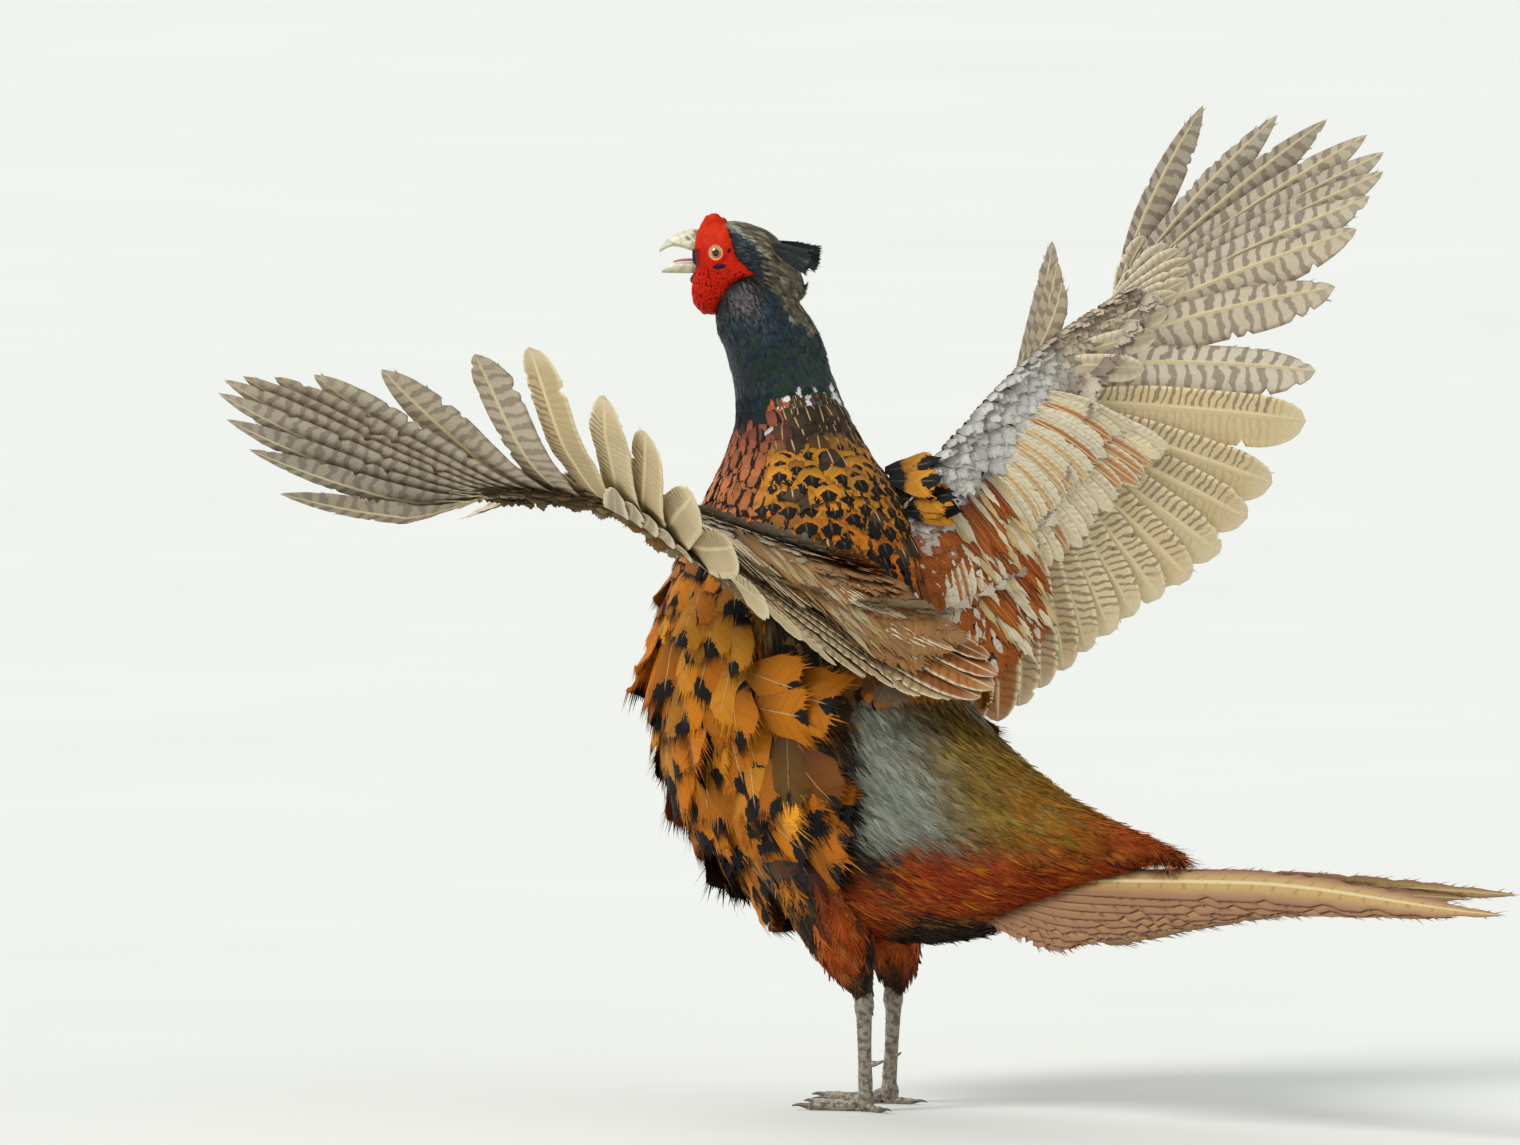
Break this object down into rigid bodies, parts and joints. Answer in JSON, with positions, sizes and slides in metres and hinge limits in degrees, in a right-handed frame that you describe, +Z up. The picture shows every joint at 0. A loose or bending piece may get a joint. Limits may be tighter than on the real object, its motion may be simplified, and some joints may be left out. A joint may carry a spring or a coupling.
{
  "type": "pheasant model",
  "caption": "Life-size standing cock pheasant with beating wings, open bill and long barred tail, as a still display model.",
  "frame": {"origin": "middle of the underside of the bounding box, on the floor", "axes": "+Z up, -X the way the bird's body faces, -Y its left side"},
  "size_m": [0.6814, 0.696, 0.5743],
  "materials": {
    "horn": "smooth ivory horn, satin",
    "eye": "wet glossy eye",
    "face_skin": "granular red bare skin",
    "tongue": "soft moist skin",
    "glossy_plumage": "soft plumage with a blue-green gloss",
    "crown_plumage": "short soft plumage",
    "body_plumage": "soft scaled plumage",
    "rump_plumage": "soft hair-like plumage",
    "tail_feathers": "barred feather vanes",
    "wing_feathers": "barred feather vanes",
    "thigh_plumage": "soft dark plumage",
    "leg_scales": "scaled skin"
  },
  "bodies": {
    "root": {"head": "crown_plumage", "bill_upper": "horn", "bill_lower": "horn", "tongue": "tongue", "wattle_left": "face_skin", "eye_left": "eye", "ear_tuft_left": "glossy_plumage", "wattle_right": "face_skin", "eye_right": "eye", "ear_tuft_right": "glossy_plumage", "neck": "glossy_plumage", "torso": "body_plumage", "rump": "rump_plumage", "tail": "tail_feathers", "wing_left": "wing_feathers", "hand_left": "wing_feathers", "alula_left": "wing_feathers", "wing_right": "wing_feathers", "hand_right": "wing_feathers", "alula_right": "wing_feathers", "foot_left": "leg_scales", "shank_left": "leg_scales", "thigh_left": "thigh_plumage", "claw_left_middle": "horn", "claw_left_inner": "horn", "claw_left_outer": "horn", "claw_left_hind": "horn", "foot_right": "leg_scales", "shank_right": "leg_scales", "thigh_right": "thigh_plumage", "claw_right_middle": "horn", "claw_right_inner": "horn", "claw_right_outer": "horn", "claw_right_hind": "horn"}
  },
  "joints": []
}
